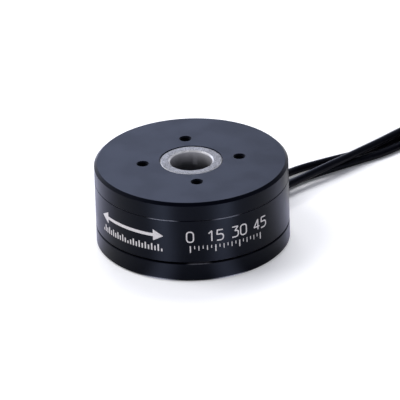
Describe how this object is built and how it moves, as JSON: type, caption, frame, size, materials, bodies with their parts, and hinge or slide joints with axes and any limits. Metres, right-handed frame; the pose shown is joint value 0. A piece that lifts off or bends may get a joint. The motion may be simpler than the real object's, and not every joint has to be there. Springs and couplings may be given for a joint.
{
  "type": "brushless dc motor",
  "caption": "Flat outrunner gimbal motor with a hollow shaft through its middle, threaded mounting holes in cap and base, and loose leads.",
  "frame": {"origin": "centre of the base's underside, on the shaft's axis", "axes": "+Z along the shaft towards the cap, +X to the right in the picture's view, so that the leads leave between +X and +Y"},
  "size_m": [0.1118, 0.0738, 0.0178],
  "materials": {
    "black_anodised": "satin black anodised",
    "black_steel": "satin black",
    "shaft_metal": "fine blasted silver",
    "core_steel": "stamped laminations",
    "insulation": "matte",
    "magnet_wire": "enamelled copper",
    "sleeve_plastic": "matte",
    "bearing_steel": "ground",
    "shield_steel": "pressed sheet",
    "ball_steel": "polished",
    "cage_brass": "satin",
    "spring_steel": "phosphated",
    "magnet": "nickel plated",
    "lead_rubber": "soft satin",
    "tie_plastic": "satin",
    "tinned_wire": "tinned"
  },
  "bodies": {
    "stator": {"base": "black_anodised", "stator_core": "core_steel", "upper_insulator": "insulation", "lower_insulator": "insulation", "winding_u": "magnet_wire", "winding_v": "magnet_wire", "winding_w": "magnet_wire", "joint_sleeves": "sleeve_plastic", "upper_bearing_outer_ring": "bearing_steel", "lower_bearing_outer_ring": "bearing_steel", "upper_bearing_shields": "shield_steel", "lower_bearing_shields": "shield_steel", "lead_u": "lead_rubber", "lead_v": "lead_rubber", "lead_w": "lead_rubber", "lead_coil": "lead_rubber", "coil_tie": "tie_plastic", "lead_end_u": "tinned_wire", "lead_end_v": "tinned_wire", "lead_end_w": "tinned_wire"},
    "rotor": {"top_cap": "black_anodised", "flux_ring": "black_steel", "north_magnets": "magnet", "south_magnets": "magnet", "hollow_shaft": "shaft_metal", "upper_bearing_inner_ring": "bearing_steel", "lower_bearing_inner_ring": "bearing_steel", "retaining_ring": "spring_steel", "shim_washer": "bearing_steel"},
    "upper_cage": {"upper_bearing_cage": "cage_brass", "upper_bearing_balls": "ball_steel"},
    "lower_cage": {"lower_bearing_cage": "cage_brass", "lower_bearing_balls": "ball_steel"}
  },
  "joints": [
    {"name": "rotor_spin", "type": "hinge", "parent": "stator", "child": "rotor", "pos_m": [0, 0, 0.009], "axis": [0, 0, 1], "continuous": true},
    {"name": "upper_cage_spin", "type": "hinge", "parent": "stator", "child": "upper_cage", "pos_m": [0, 0, 0.0112], "axis": [0, 0, 1], "continuous": true},
    {"name": "lower_cage_spin", "type": "hinge", "parent": "stator", "child": "lower_cage", "pos_m": [0, 0, 0.0037], "axis": [0, 0, 1], "continuous": true}
  ],
  "couplings": [
    {"joint": "upper_cage_spin", "follows": "rotor_spin", "ratio": 0.4473},
    {"joint": "lower_cage_spin", "follows": "rotor_spin", "ratio": 0.4473}
  ]
}
